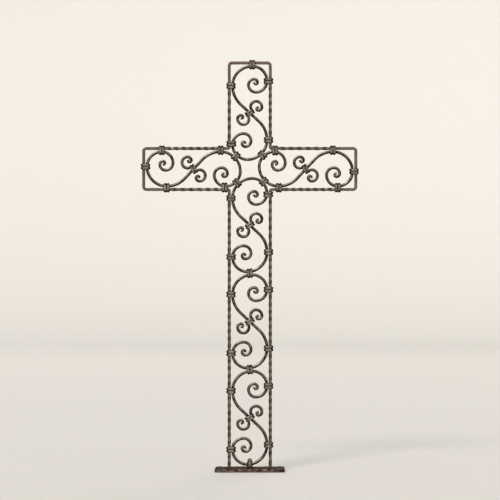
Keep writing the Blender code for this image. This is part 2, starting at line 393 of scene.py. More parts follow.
@dataclass
class Shell:
    """Points of a mesh as drawn flat, its faces, and a value per point for each mark."""

    points: np.ndarray
    faces: list[tuple[int, ...]]
    marks: dict[Mark, np.ndarray]

    def turned(self, degrees: float, centre: Point) -> "Shell":
        """Turn the shell in the flat plane and move it.

        Args:
            degrees: turn, anticlockwise.
            centre: where the origin goes.

        Returns:
            The moved shell.
        """
        a = math.radians(degrees)
        spin = np.array([[math.cos(a), math.sin(a), 0], [-math.sin(a), math.cos(a), 0], [0, 0, 1]])
        return Shell(self.points @ spin + np.array([*centre, 0.0]), self.faces, self.marks)


@dataclass(frozen=True)
class Hammer:
    """Marks of hammer blows: the size of one, its depth, and a slow swell between them.

    Blows sink dents into a flat, and on an edge they leave raised pillows.
    """

    size_mm: float
    depth_mm: float
    swell_mm: float = 0.10
    swell_size_mm: float = 28.0
    reach: float = 0.75
    raised: bool = False

    @property
    def deepest(self) -> float:
        """The deepest that the marks can be."""
        return (self.depth_mm + self.swell_mm) / 1000

    def depth(self, spot: Vector) -> float:
        """Find how far the blows push the surface in, which is never out.

        Args:
            spot: point of the surface.

        Returns:
            The depth there.
        """
        near = noise.voronoi(spot * (1000 / self.size_mm))[0][0]
        blow = max(0.0, 1.0 - (near / self.reach) ** 2)
        if self.raised:
            blow = 1.0 - blow
        swell = 0.5 + 0.5 * noise.noise(spot * (1000 / self.swell_size_mm))
        return (blow * self.depth_mm + max(0.0, swell) * self.swell_mm) / 1000

    def strike(self, points: np.ndarray, normals: np.ndarray) -> tuple[np.ndarray, np.ndarray]:
        """Push points in along their normals.

        Args:
            points: one row for each point.
            normals: outward direction at each point.

        Returns:
            The points after the blows, and how deep each lies, from 0 to 1.
        """
        depth = np.array([self.depth(Vector(p)) for p in points])
        return points - normals * depth[:, None], depth / self.deepest


def tube(rows: int, across: int, ends: Ends) -> list[tuple[int, ...]]:
    """Lay faces between rings of points that follow each other.

    Args:
        rows: number of rings.
        across: number of points in a ring.
        ends: what becomes of its ends.

    Returns:
        The point numbers of each face.
    """
    faces = []
    for i in range(rows if ends is Ends.JOINED else rows - 1):
        j = (i + 1) % rows
        for k in range(across):
            m = (k + 1) % across
            faces.append((j * across + k, j * across + m, i * across + m, i * across + k))
    if ends is Ends.CAPPED:
        faces.append(tuple(range(across)))
        faces.append(tuple(reversed(range((rows - 1) * across, rows * across))))
    return faces


def unit(arrows: np.ndarray) -> np.ndarray:
    """The same arrows, one to a row, each made one long."""
    return arrows / np.linalg.norm(arrows, axis=1)[:, None]


@dataclass(frozen=True)
class BarStock:
    """Square bar with crowned faces and hammered arrises.

    Its ends are rounded over the length of the nose.  Soot gathers in its
    dents, and painted shade darkens it beside the collars.
    """

    side: float
    squareness: float
    nose: float
    hammer: Hammer
    around: int = 24
    arris_focus: int = 3
    nose_turns: tuple[float, ...] = (0.0, 25.0, 50.0, 72.0, 88.0)
    collar_shade_reach: float = 0.013
    collar_shade_fade: float = 0.005
    dent_soot: float = 0.4

    def ring(self) -> tuple[np.ndarray, np.ndarray, np.ndarray]:
        """Draw the section of the bar.

        Returns:
            Points, outward directions, and wear from 0 on a face to 1 on an
            arris.
        """
        angles = 2 * math.pi * np.arange(self.around) / self.around
        across = np.stack([np.cos(angles), np.sin(angles)], axis=1)
        shape = np.sign(across) * abs(across) ** (2 / self.squareness)
        normals = unit(np.sign(shape) * abs(shape) ** (self.squareness - 1))
        return shape * self.side / 2, normals, abs(np.sin(2 * angles)) ** self.arris_focus

    def forge(self, route: Route, seats: np.ndarray) -> Shell:
        """Draw the hammered bar along a route.

        Args:
            route: centreline, widths and twists.
            seats: centres of the collars.

        Returns:
            The closed shell of the bar.
        """
        centres = np.array(route.points)
        along = unit(np.gradient(centres, axis=0))
        far = np.array(route.lengths())
        # the rings of a nose keep the direction, width and twist of its end
        bends = np.radians(self.nose_turns)
        n, back = len(bends), self.nose * (1 - np.sin(bends))
        slim = 1 - self.nose * (1 - np.cos(bends)) / (self.side / 2)
        kept = np.flatnonzero((far > self.nose) & (far < far[-1] - self.nose))
        rings = np.concatenate([np.zeros(n, int), kept, np.full(n, len(far) - 1)])
        c, t, w = centres[rings], along[rings], np.array(route.widths)[rings]
        c[:n] += back[::-1, None] * t[:n]
        c[-n:] -= back[:, None] * t[-n:]
        w[:n] *= slim[::-1]
        w[-n:] *= slim
        # a pair across the bar is one complex number: its real part lies in the
        # flat plane, its imaginary part towards the viewer, and a twist is a product
        ring, outward, wear = self.ring()
        twist = np.exp(1j * np.radians(route.twists))[rings][:, None]
        skin, normals = (
            np.stack([-t[:, 1:] * pair.real, t[:, :1] * pair.real, pair.imag], axis=2)
            for pair in (twist * w[:, None] * (ring @ [1, 1j]), twist * (outward @ [1, 1j])))
        skin[:, :, :2] += c[:, None]
        faces = [tuple(reversed(f)) for f in tube(len(rings), self.around, Ends.CAPPED)]
        # painted shade: the bar is darkened beside each collar, where shade falls between the
        # parts; only the dents hold soot
        near = np.linalg.norm(c[:, None] - seats[None], axis=2).min(axis=1)
        soot_and_shade = np.clip((self.collar_shade_reach - near) / self.collar_shade_fade, 0, 1)
        skin, dents = self.hammer.strike(skin.reshape(-1, 3), normals.reshape(-1, 3))
        darkened = np.maximum(np.repeat(soot_and_shade, self.around), self.dent_soot * dents)
        return Shell(skin, faces, {Mark.EDGE: np.tile(wear, len(rings)) * (1 - dents),
                                   Mark.SOOT_AND_SHADE: darkened})


# Surfaces


def linear(colour: str) -> tuple[float, float, float, float]:
    """Turn an sRGB hex colour into linear red, green, blue and alpha.

    Args:
        colour: such as "#8a7666".

    Returns:
        Four numbers for a colour socket.
    """
    shares = [int(colour[i:i + 2], 16) / 255 for i in (1, 3, 5)]
    r, g, b = (s / 12.92 if s <= 0.04045 else ((s + 0.055) / 1.055) ** 2.4 for s in shares)
    return r, g, b, 1.0


def add(tree: bpy.types.NodeTree, kind: str, inputs: dict, **settings: object) -> bpy.types.Node:
    """Add a node with its settings, values and links.

    Args:
        tree: node tree that gets the node.
        kind: Blender's name for the kind of node.
        inputs: by socket name or number, a value, an output to link, or a
            node whose first output is linked.
        settings: properties of the node.

    Returns:
        The new node.
    """
    node = tree.nodes.new(kind)
    for name, value in settings.items():
        setattr(node, name, value)
    for name, value in inputs.items():
        source = value.outputs[0] if isinstance(value, bpy.types.Node) else value
        if isinstance(source, bpy.types.NodeSocket):
            tree.links.new(source, node.inputs[name])
        else:
            node.inputs[name].default_value = source
    return node


@dataclass(frozen=True)
class ForgedIron:
    """Forged iron: dark scale, painted lighter, with patchy rubbing, where a face looks to the
    front, back or up.

    That lighter colour is painted light, a painted highlight, and the darker sides are painted
    shade.  Edges are worn, with breaks.  Soot fills the hammer dents, and the same dark colour
    is painted as shade into creases, beside the collars and on sides turned away.
    """

    name: str
    slot: Slot
    scale: str
    rub_and_painted_light: str
    tint: str
    worn: str
    soot_and_shade: str
    # painted light and wear that are left on the sides, which are in painted shade, and how much
    # painted light facing up adds and facing down takes away
    side_painted_light_share: float = 0.08
    shaded_side_wear: float = 0.15
    lift: float = 0.26
    # how far a face looks to the front or back where the painted light begins and is
    # full, and how ragged that border is
    painted_light_low: float = 0.925
    painted_light_high: float = 1.01
    ragged: float = 0.14
    # least share of the lighter, painted-light colour in a patch, and the most that the other
    # layers cover
    patch_share: float = 0.60
    tint_share: float = 0.40
    wear_share: float = 0.60
    soot_and_shade_strength: float = 0.80
    metallic: float = 0.80
    smooth: float = 0.25
    rough: float = 0.46
    soot_and_shade_rough: float = 0.18
    # The grain of real scale is about a tenth of a millimetre, too fine to
    # show, so it is drawn as coarse as it needs to show.
    mottle_mm: float = 11.0
    cloud_mm: float = 70.0
    grain_mm: float = 1.3
    blow_mm: float = 7.5
    grain_height_mm: float = 0.10
    blow_height_mm: float = 0.35
    relief: float = 0.6
    blow_softness: float = 0.35
    # values of each noise between which its effect comes in
    patch_band: tuple[float, float] = (0.34, 0.62)
    cloud_band: tuple[float, float] = (0.42, 0.66)
    break_band: tuple[float, float] = (0.44, 0.60)
    grain_band: tuple[float, float] = (0.3, 0.7)
    grazing: str = "#8c8277"
    specular: float = 0.25

    def material(self) -> bpy.types.Material:
        """Give the material, which is made when it is first asked for.

        Returns:
            The finished material.
        """
        if self.name in bpy.data.materials:
            return bpy.data.materials[self.name]
        material = bpy.data.materials.new(self.name)
        material.use_nodes = True
        tree = material.node_tree
        where = add(tree, "ShaderNodeTexCoord", {})
        spot = where.outputs["Object"]
        mottle, cloud, grain = (
            add(tree, "ShaderNodeTexNoise", {"Vector": spot, "Scale": 1000 / size_mm,
                                             "Detail": detail, "Roughness": harshness})
            for size_mm, detail, harshness in ((self.mottle_mm, 4.0, 0.6),
                                               (self.cloud_mm, 2.0, 0.5),
                                               (self.grain_mm, 3.0, 0.65)))
        blows = add(tree, "ShaderNodeTexVoronoi",
                    {"Vector": spot, "Scale": 1000 / self.blow_mm,
                     "Smoothness": self.blow_softness}, feature="SMOOTH_F1")
        # the second mark carries soot and painted shade
        edge, soot_and_shade_mask = (
            add(tree, "ShaderNodeAttribute", {}, attribute_name=mark.value).outputs["Fac"]
            for mark in (Mark.EDGE, Mark.SOOT_AND_SHADE))
        patchy, clouds, breaks, matt = (
            add(tree, "ShaderNodeMapRange", {"Value": pattern, "From Min": band[0],
                                             "From Max": band[1], "To Min": low, "To Max": high})
            for pattern, band, low, high in ((mottle, self.patch_band, self.patch_share, 1.0),
                                             (cloud, self.cloud_band, 0.0, self.tint_share),
                                             (mottle, self.break_band, 0.0, self.wear_share),
                                             (grain, self.grain_band, self.smooth, self.rough)))

        # painted light: a face that looks to the front, back or up gets the lighter colour as a
        # painted highlight, and a face turned to the side or down keeps the dark colour as painted
        # shade
        turned = add(tree, "ShaderNodeSeparateXYZ", {0: where.outputs["Normal"]})
        front = add(tree, "ShaderNodeMath", {0: turned.outputs["Y"]}, operation="ABSOLUTE")
        lifted = add(tree, "ShaderNodeMath", {0: turned.outputs["Z"], 1: self.lift, 2: front},
                     operation="MULTIPLY_ADD")
        ragged = add(tree, "ShaderNodeMath", {0: mottle, 1: self.ragged, 2: lifted},
                     operation="MULTIPLY_ADD")
        middle = self.ragged / 2
        reach = add(tree, "ShaderNodeMapRange",
                    {"Value": ragged, "From Min": self.painted_light_low + middle,
                     "From Max": self.painted_light_high + middle, "To Min": self.side_painted_light_share},
                    interpolation_type="SMOOTHSTEP")
        # worn edges show less on the sides, which are in painted shade
        shown = add(tree, "ShaderNodeMapRange", {"Value": reach, "To Min": self.shaded_side_wear})
        bare = add(tree, "ShaderNodeMath", {0: edge, 1: breaks}, operation="MULTIPLY")
        # the lighter colour's share is the painted light times the patchy rubbing; the dark soot
        # colour covers soot and painted shade
        rub_and_painted_light_share, wear, soot_and_shade_share = (
            add(tree, "ShaderNodeMath", {0: first, 1: second}, operation="MULTIPLY")
            for first, second in ((reach, patchy), (bare, shown), (soot_and_shade_mask, self.soot_and_shade_strength)))
        # of a Mix node, sockets 6 and 7 are its colours and output 2 the blend
        colour = linear(self.scale)
        for share, over in ((rub_and_painted_light_share, self.rub_and_painted_light), (clouds, self.tint), (wear, self.worn),
                            (soot_and_shade_share, self.soot_and_shade)):
            colour = add(tree, "ShaderNodeMix", {0: share, 6: colour, 7: linear(over)},
                         data_type="RGBA").outputs[2]
        rough = add(tree, "ShaderNodeMath", {0: soot_and_shade_mask, 1: self.soot_and_shade_rough, 2: matt},
                    operation="MULTIPLY_ADD", use_clamp=True)
        dents = add(tree, "ShaderNodeBump",
                    {"Height": blows, "Strength": self.relief,
                     "Distance": self.blow_height_mm / 1000})
        pits = add(tree, "ShaderNodeBump",
                   {"Height": grain, "Strength": self.relief, "Normal": dents,
                    "Distance": self.grain_height_mm / 1000})

        shader = tree.nodes["Principled BSDF"]
        shader.inputs["Metallic"].default_value = self.metallic
        shader.inputs["Specular IOR Level"].default_value = self.specular
        shader.inputs["Specular Tint"].default_value = linear(self.grazing)
        for socket, output in (("Base Color", colour), ("Roughness", rough.outputs[0]),
                               ("Normal", pits.outputs[0])):
            tree.links.new(output, shader.inputs[socket])
        return material


# Square bar drawn out, coiled and hammered by hand, then blackened and waxed:
# brown-black scale, with pewter painted light on faces to the front and up and painted shade on
# the sides.
SCROLL_IRON = ForgedIron(
    "forged_scroll_iron", Slot.SCROLL, scale="#120a06", rub_and_painted_light="#9d8c7e", tint="#574539",
    worn="#d8ccc0", soot_and_shade="#0b0604", lift=0.36, painted_light_low=0.95, painted_light_high=1.03,
    patch_share=0.48, wear_share=0.85)
# The same bar twisted hot: the twist cracks the scale, so that it is patchier.
FRAME_IRON = ForgedIron(
    "twisted_frame_iron", Slot.FRAME, scale="#120b07", rub_and_painted_light="#958576", tint="#594639",
    worn="#cdc1b5", soot_and_shade="#0b0604", lift=0.04, shaded_side_wear=0.4, painted_light_low=0.68,
    painted_light_high=0.98, ragged=0.18, wear_share=0.2, mottle_mm=8.0)
# Half-round strap closed hot over the bars and quenched in oil: cooler grey
# and matt, with its turned sides painted black as painted shade.
COLLAR_IRON = ForgedIron(
    "oil_quenched_collar_iron", Slot.COLLAR, scale="#15100c", rub_and_painted_light="#898076",
    tint="#756a60", worn="#c6beb4", soot_and_shade="#080503", soot_and_shade_strength=0.96, shaded_side_wear=0.0,
    lift=0.06, painted_light_low=0.60, painted_light_high=0.92, metallic=0.70, smooth=0.42, rough=0.66,
    mottle_mm=5.0, blow_mm=5.0, grazing="#4a443e", specular=0.15)
# Hot-rolled plate hammered all over: darker brown oxide, worn on the ridges between the blows,
# with its top, front and back painted lighter and its ends and underside dark, as painted light
# and shade.
PLATE_IRON = ForgedIron(
    "hammered_plate_iron", Slot.PLATE, scale="#1a110c", rub_and_painted_light="#76665e", tint="#54443b",
    worn="#a8978a", soot_and_shade="#0b0705", soot_and_shade_strength=0.9, side_painted_light_share=0.12, lift=0.86,
    painted_light_low=0.80, painted_light_high=0.985, metallic=0.75, smooth=0.34, rough=0.58,
    mottle_mm=9.0, blow_mm=14.0, grazing="#3c342d", specular=0.10)


def place_object(name: str, data: bpy.types.ID) -> bpy.types.Object:
    """Put an object in the scene.

    Args:
        name: its name.
        data: its mesh, lamp or lens.

    Returns:
        The new object.
    """
    placed = bpy.data.objects.new(name, data)
    bpy.context.scene.collection.objects.link(placed)
    return placed


def place_piece(name: str, shell: Shell, finish: ForgedIron, height: float, *nodes: str) -> None:
    """Stand a shell up as a piece of the cross, in place of its CAD nodes.

    Args:
        name: name of the piece.
        shell: its mesh as drawn flat.
        finish: its iron.
        height: height of the crossing above the floor.
        nodes: CAD nodes that it stands for.
    """
    flat = shell.points
    stood = np.stack([flat[:, 0], -flat[:, 2], flat[:, 1] + height], axis=1)
    mesh = bpy.data.meshes.new(name)
    mesh.from_pydata(stood.tolist(), [], shell.faces)
    for mark, values in shell.marks.items():
        layer = mesh.attributes.new(mark.value, "FLOAT", "POINT")
        layer.data.foreach_set("value", np.asarray(values, np.float32))
    mesh.materials.append(finish.material())
    mesh.shade_smooth()
    mesh.validate()
    piece = place_object(name, mesh)
    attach(piece, BODY)
    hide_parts(*nodes)
    LOG.info("%s: %d faces", name, len(mesh.polygons))


# Sub-assemblies


@dataclass
class Scrolls:
    """The six large S scrolls and their twelve small curls."""

    plan: Plan
    squareness: float = 2.7
    nose: float = 0.0014
    hammer: Hammer = Hammer(size_mm=8.0, depth_mm=0.30)

    def build(self) -> None:
        """Forge every scroll and curl and place it."""
        plan = self.plan
        stock = BarStock(plan.bar, self.squareness, self.nose, self.hammer)
        seats = plan.seat_centres()
        for bay in plan.bays():
            for node, route, degrees in ((f"scroll_{bay.name}", plan.scroll(), 0),
                                         (f"curl_{bay.name}_a", plan.curl(), 0),
                                         (f"curl_{bay.name}_b", plan.curl(), 180)):
                shell = stock.forge(route.placed(bay.degrees + degrees, bay.centre), seats)
                place_piece(f"forged_{node}", shell, SCROLL_IRON, plan.height, node)


@dataclass
class Frame:
    """The twisted bar that runs from one foot round the arms to the other."""

    plan: Plan
    squareness: float = 5.8
    nose: float = 0.0006
    corner: float = 0.0070
    quarter_turn: float = 0.020
    plain_end: float = 0.002
    twist_width: float = 0.885
    waist_run: float = 0.006
    foot_sink: float = 0.0012
    hammer: Hammer = Hammer(size_mm=9.0, depth_mm=0.22)

    def corners(self) -> list[Point]:
        """Lay out the frame with sharp corners.

        Returns:
            The corners from the left foot to the right foot.
        """
        p = self.plan
        half, reach, foot = p.frame_half, p.arm_reach, -p.plate_drop - self.foot_sink
        left = [(-half, foot), (-half, -half), (-reach, -half), (-reach, half), (-half, half),
                (-half, reach)]
        return left + [(-x, y) for x, y in reversed(left)]

    def stops(self, a: Point, b: Point, seats: list[Seat]) -> list[float]:
        """Find the collars met on one leg, which hold the bar flat.

        Args:
            a: start of the leg.
            b: its end.
            seats: collars of the cross.

        Returns:
            Distances of their middles from the start, in order.
        """
        leg = math.dist(a, b)
        ux, uy = (b[0] - a[0]) / leg, (b[1] - a[1]) / leg
        found = []
        for seat in seats:
            px, py = seat.centre[0] - a[0], seat.centre[1] - a[1]
            along = px * ux + py * uy
            if (seat.node.endswith(("_a", "_b", "_c", "_d")) and 0 < along < leg
                    and abs(px * uy - py * ux) < self.plan.bar):
                found.append(along)
        return sorted(found)

    def route(self) -> Route:
        """Centreline and twist of the whole bar.

        Returns:
            The route, from the left foot to the right foot.
        """
        plan, corners = self.plan, self.corners()
        seats, half = plan.seats(), plan.collar_length / 2
        held = half + self.plain_end
        rows = [(corners[0], 1.0, 0.0)]
        begun = twist = 0.0
        for i, (a, b) in enumerate(zip(corners, corners[1:])):
            leg = math.dist(a, b)
            ux, uy = (b[0] - a[0]) / leg, (b[1] - a[1]) / leg
            last = i == len(corners) - 2
            stops = self.stops(a, b, seats)
            # the plate holds the two feet as a collar would
            if i == 0:
                stops.insert(0, self.foot_sink - half)
            if last:
                stops.append(leg - self.foot_sink + half)
            keys = [(begun, twist)]
            for s0, s1 in zip(stops, stops[1:]):
                turns = max(1, round((s1 - s0 - 2 * held) / self.quarter_turn))
                keys += [(s0 + held, twist), (s1 - held, twist + 90 * turns)]
                twist += 90 * turns
            bend, begun = [], 0.0
            if not last:
                after = corners[i + 2]
                inward = ux * (after[1] - b[1]) - uy * (after[0] - b[0]) > 0
                bend = [(plan.crook, -90) if inward else (self.corner, 90)]
                begun = bend[0][0]
            keys.append((leg - begun, twist))
            for (s0, t0), (s1, t1) in zip(keys, keys[1:]):
                parts = max(1, math.ceil((s1 - s0) / plan.pace))
                for n in range(1, parts + 1):
                    s = s0 + (s1 - s0) * n / parts
                    slim = min(1.0, min(s - s0, s1 - s) / self.waist_run) if t1 > t0 else 0.0
                    rows.append(((a[0] + ux * s, a[1] + uy * s),
                                 1 - (1 - self.twist_width) * slim, t0 + (t1 - t0) * n / parts))
            heading = math.degrees(math.atan2(uy, ux))
            rows += [(p, 1.0, twist) for p in walk(rows[-1][0], heading, bend, plan.pace)[1:]]
        return Route(*(list(column) for column in zip(*rows)))

    def build(self) -> None:
        """Forge the frame and place it."""
        plan = self.plan
        stock = BarStock(plan.bar, self.squareness, self.nose, self.hammer)
        shell = stock.forge(self.route(), plan.seat_centres())
        place_piece("twisted_frame", shell, FRAME_IRON, plan.height, "frame_bar")


class CollarForm(Enum):
    """Kinds of grooved collar: length, wall and crown of the ribs, in mm."""

    BROAD = (14.5, 3.4, 2.1)
    MIDDLE = (12.6, 2.4, 1.6)


@dataclass
class Collars:
    """Every grooved collar that ties bars together.

    In front and behind its wall is as thick as its face, and the outline of a
    rib is a superellipse of the power of its bow.
    """

    plan: Plan
    face: float = 0.0040
    bend: float = 0.0064
    groove: float = 0.0006
    front_crown: float = 0.85
    groove_shade: float = 0.85
    rim_shade: float = 0.70
    shade_focus: int = 6
    side_start: float = 0.10
    side_run: float = 0.26
    side_most: float = 0.88
    crest_wear: float = 0.8
    bow: float = 2.2
    least_bend: float = 0.001
    mouth_bend: float = 0.0004
    arc_parts: int = 7
    flat_parts: int = 5
    rib_parts: int = 10
    lean: float = 1.1
    lean_seed: int = 11
    hammer: Hammer = Hammer(size_mm=5.0, depth_mm=0.18, swell_mm=0.06, swell_size_mm=12.0)

    def opening(self, bars: tuple[Route, ...], half: float) -> tuple[float, float]:
        """Room that the bars take across a collar, drawn about its centre.

        Args:
            bars: routes of the bars, with the collar's centre at the origin.
            half: half length of the collar.

        Returns:
            Lowest and highest edge.
        """
        low, high = math.inf, -math.inf
        for route in bars:
            p = np.array(route.points)
            a, d = p[:-1], np.diff(p, axis=0)
            t = np.clip(-(a * d).sum(1) / (d * d).sum(1), 0, 1)
            first = last = int(np.linalg.norm(a + d * t[:, None], axis=1).argmin()) + 1
            while first > 1 and abs(p[first - 1][1]) < half:
                first -= 1
            while last < len(p) - 1 and abs(p[last][1]) < half:
                last += 1
            for i in range(first, last + 1):
                (x0, y0), (x1, y1) = p[i - 1], p[i]
                slope = math.dist(p[i - 1], p[i]) / abs(y1 - y0)
                for y in (max(min(y0, y1), -half), min(max(y0, y1), half)):
                    s = (y - y0) / (y1 - y0)
                    width = route.widths[i - 1] + s * (route.widths[i] - route.widths[i - 1])
                    edge = self.plan.bar / 2 * slope * width
                    x = x0 + s * (x1 - x0)
                    low, high = min(low, x - edge), max(high, x + edge)
        return low - self.plan.gap, high + self.plan.gap

    def side_shade(self, normals: np.ndarray) -> np.ndarray:
        """How much painted shade darkens the sides of a collar where it bends away from the front.
        """
        return np.clip((abs(normals[:, 0]) - self.side_start) / self.side_run, 0, self.side_most)

    def loop(self, half_x: float, half_z: float, radius: float) -> tuple[np.ndarray, np.ndarray]:
        """Rounded rectangle across a collar.

        Args:
            half_x: half size across the bars.
            half_z: half size towards the viewer.
            radius: radius of its corners.

        Returns:
            Points and outward normals, anticlockwise.
        """
        # how far round its corner and then along the flat each point lies
        stations = [(i / (self.arc_parts - 1), 0.0) for i in range(self.arc_parts)]
        stations += [(1.0, i / self.flat_parts) for i in range(1, self.flat_parts)]
        points, normals = [], []
        for corner, (sx, sz) in enumerate(((1, 1), (-1, 1), (-1, -1), (1, -1))):
            run = 2 * ((half_z if corner % 2 else half_x) - radius)
            for bent, slid in stations:
                b = math.pi / 2 * (corner + bent)
                points.append((sx * (half_x - radius) + radius * math.cos(b)
                               - run * slid * math.sin(b),
                               sz * (half_z - radius) + radius * math.sin(b)
                               + run * slid * math.cos(b)))
                normals.append((math.cos(b), math.sin(b)))
        return np.array(points), np.array(normals)

    def shell(self, form: CollarForm, low: float, high: float) -> tuple[Shell, np.ndarray]:
        """Band of two ribs with a groove between them, closed round its bars.

        Args:
            form: kind of collar.
            low: lowest edge of the opening.
            high: highest edge of the opening.

        Returns:
            The closed shell before the hammer, and its outward directions.
        """
        length, wall, crown = (v / 1000 for v in form.value)
        half = length / 2
        face = self.plan.bar / 2 + self.plan.gap
        middle, half_x, half_z = (low + high) / 2, (high - low) / 2 + wall, face + self.face
        rib = (half - self.groove / 2) / 2
        # each row: its place and slope along the bars, size, bend, wear and painted shade
        rows = []
        for sign in (-1, 1):
            centre = sign * (self.groove / 2 + rib)
            for i in range(self.rib_parts + 1):
                u = -math.cos(math.pi * i / self.rib_parts)
                sink = crown * (1 - (1 - abs(u) ** self.bow) ** (1 / self.bow))
                # painted shade: the groove and the rims grow dark towards the ends of each rib
                dark = self.groove_shade if u * sign < 0 else self.rim_shade
                rows.append((centre + rib * u, sign if i == max(0, sign * self.rib_parts) else 0,
                             half_x - sink, half_z - self.front_crown * sink,
                             max(self.bend - sink, self.least_bend),
                             (1 - abs(u)) * self.crest_wear, dark * abs(u) ** self.shade_focus))
        rows += [(y, 0, (high - low) / 2, face, self.mouth_bend, 0.0, 1.0) for y in (half, -half)]
        points, normals, edge, soot_and_shade_mask = [], [], [], []
        for y, lift, half_x, half_z, bend, wear, dark in rows:
            p, n = self.loop(half_x, half_z, bend)
            level = np.ones(len(p))
            points.append(np.stack([p[:, 0] + middle, level * y, p[:, 1]], axis=1))
            # the mouth, all in painted shade, is not hammered
            normals.append(np.stack([n[:, 0], level * lift, n[:, 1]], axis=1) * (dark < 1))
            edge.append(level * wear)
            soot_and_shade_mask.append(np.maximum(self.side_shade(n), dark))
        faces = tube(len(rows), len(level), Ends.JOINED)
        marks = {Mark.EDGE: np.concatenate(edge), Mark.SOOT_AND_SHADE: np.concatenate(soot_and_shade_mask)}
        return Shell(np.vstack(points), faces, marks), np.vstack(normals)

    def build(self) -> None:
        """Close a collar on each of its seats."""
        draw = random.Random(self.lean_seed)
        for seat in self.plan.seats():
            form = CollarForm.MIDDLE if seat.node.endswith("_mid") else CollarForm.BROAD
            low, high = self.opening(seat.bars, form.value[0] / 2000)
            shell, normals = self.shell(form, low, high)
            offset = np.array([*seat.centre, 0.0])
            shell.points = self.hammer.strike(shell.points + offset, normals)[0] - offset
            lean = 0.0 if seat.node.endswith("_end") else draw.uniform(-self.lean, self.lean)
            place_piece(f"hammered_{seat.node}", shell.turned(seat.degrees + lean, seat.centre),
                        COLLAR_IRON, self.plan.height, seat.node)


@dataclass
class Foot:
    """Plain collar with a domed top that holds the last scroll to the plate."""

    plan: Plan
    around: int = 48
    middle_up: float = 0.010
    hammer: Hammer = Hammer(size_mm=6.0, depth_mm=0.18, swell_mm=0.05)
    # wear on the body and low on it, and painted shade at its seam, neck and flanks
    body_wear: float = 0.9
    low_wear: float = 0.3
    low_mm: float = 3.0
    neck_mm: tuple[float, float] = (15.2, 16.5)
    seam_mm: float = 1.0
    neck_shade: float = 0.8
    flank_start: float = 0.40
    flank_run: float = 0.30
    # height above the plate, half width and half depth in mm, and squareness
    profile: tuple[tuple[float, float, float, float], ...] = (
        (-1.2, 6.2, 7.4, 3.4), (0.4, 6.7, 7.9, 3.6), (2.2, 7.1, 8.2, 3.8), (5.0, 7.25, 8.3, 4.0),
        (8.0, 7.25, 8.3, 4.0), (11.0, 7.2, 8.3, 4.0), (13.0, 7.0, 8.1, 3.8), (14.3, 6.6, 7.6, 3.4),
        (15.1, 6.0, 6.8, 2.8), (15.6, 5.5, 5.9, 2.3), (16.1, 5.5, 5.7, 2.1), (16.6, 5.9, 5.9, 2.0),
        (17.4, 6.05, 6.05, 2.0), (18.6, 5.9, 5.9, 2.0), (19.8, 5.4, 5.4, 2.0),
        (21.0, 4.6, 4.6, 2.0), (22.0, 3.6, 3.6, 2.0), (22.8, 2.5, 2.5, 2.0), (23.3, 1.2, 1.2, 2.0))

    def build(self) -> None:
        """Forge the collar and its dome as one piece."""
        plan = self.plan
        angles = 2 * math.pi * np.arange(self.around) / self.around
        c, s, level = np.cos(angles), np.sin(angles), np.ones(self.around)
        points, edge, soot_and_shade_mask = [], [], []
        for up, half_x, half_z, square in self.profile:
            x = np.sign(c) * abs(c) ** (2 / square)
            z = np.sign(s) * abs(s) ** (2 / square)
            points.append(np.stack([x * half_x / 1000, level * (up / 1000 - plan.plate_drop),
                                    z * half_z / 1000], axis=1))
            edge.append(level * (self.body_wear if up > self.low_mm else self.low_wear))
            # painted shade where the foot meets the plate, in the neck under the dome and on the
            # flanks
            darkened = self.neck_mm[0] < up < self.neck_mm[1] or up < self.seam_mm
            soot_and_shade_mask.append(level * self.neck_shade if darkened else
                          np.clip((abs(x) - self.flank_start) / self.flank_run, 0, 1))
        flat = np.vstack(points)
        out = unit(flat - np.array([0.0, self.middle_up - plan.plate_drop, 0.0]))
        shell = Shell(self.hammer.strike(flat, out)[0],
                      tube(len(self.profile), self.around, Ends.CAPPED),
                      {Mark.EDGE: np.concatenate(edge), Mark.SOOT_AND_SHADE: np.concatenate(soot_and_shade_mask)})
        place_piece("domed_foot_collar", shell, COLLAR_IRON, plan.height, "collar_foot")


